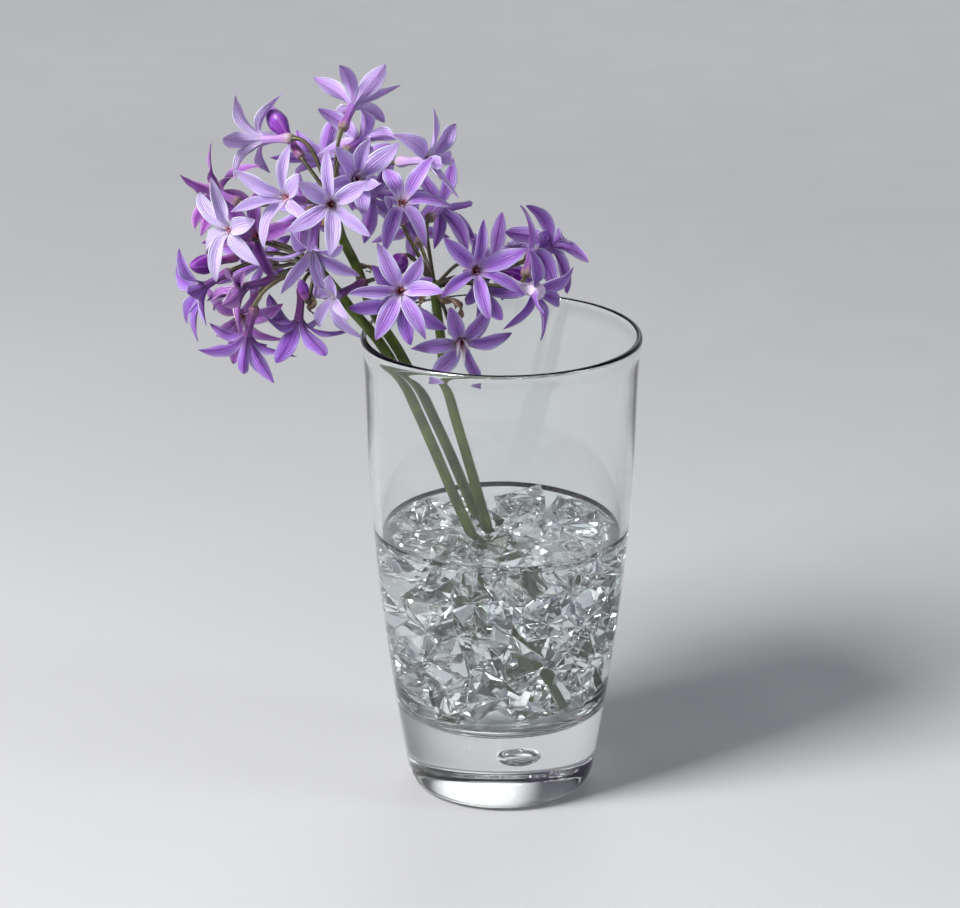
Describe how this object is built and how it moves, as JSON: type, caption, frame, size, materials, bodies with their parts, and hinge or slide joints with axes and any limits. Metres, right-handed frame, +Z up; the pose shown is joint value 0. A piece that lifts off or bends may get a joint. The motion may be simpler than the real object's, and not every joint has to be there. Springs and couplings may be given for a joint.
{
  "type": "lilac flower",
  "caption": "Cut bunch of star-shaped lilac flowers in round heads on olive stems, leaning out of a clear glass tumbler of water and clear crystals.",
  "frame": {"origin": "middle of the tumbler's flat foot, on the surface that it stands on", "axes": "+Z up along the tumbler's axis, -Y towards the front, the flowers leaning towards -X"},
  "size_m": [0.1325, 0.0817, 0.2134],
  "materials": {
    "glass": "clear, smooth, polished",
    "water": "clear liquid",
    "crystal": "clear, faceted, polished",
    "stem": "olive green, satin, lightly striped lengthwise",
    "petal": "soft satin, lilac with pale edges, fine veins and a darker midline",
    "bud": "satin, deep violet"
  },
  "bodies": {
    "root": {"bloom_a1": "petal", "bloom_a2": "petal", "bloom_a3": "petal", "bloom_a4": "petal", "bloom_a5": "petal", "bloom_a6": "petal", "bloom_a7": "petal", "bloom_a8": "petal", "bloom_a9": "petal", "bloom_b1": "petal", "bloom_b10": "petal", "bloom_b11": "petal", "bloom_b12": "petal", "bloom_b2": "petal", "bloom_b3": "petal", "bloom_b4": "petal", "bloom_b5": "petal", "bloom_b6": "petal", "bloom_b7": "petal", "bloom_b8": "petal", "bloom_b9": "petal", "bloom_c1": "petal", "bloom_c10": "petal", "bloom_c11": "petal", "bloom_c12": "petal", "bloom_c13": "petal", "bloom_c2": "petal", "bloom_c3": "petal", "bloom_c4": "petal", "bloom_c5": "petal", "bloom_c6": "petal", "bloom_c7": "petal", "bloom_c8": "petal", "bloom_c9": "petal", "bud_a1": "bud", "bud_b1": "bud", "bud_c1": "bud", "bud_c2": "bud", "crystals": "crystal", "stem_a": "stem", "stem_b": "stem", "stem_c": "stem", "tumbler": "glass", "water": "water"}
  },
  "joints": []
}
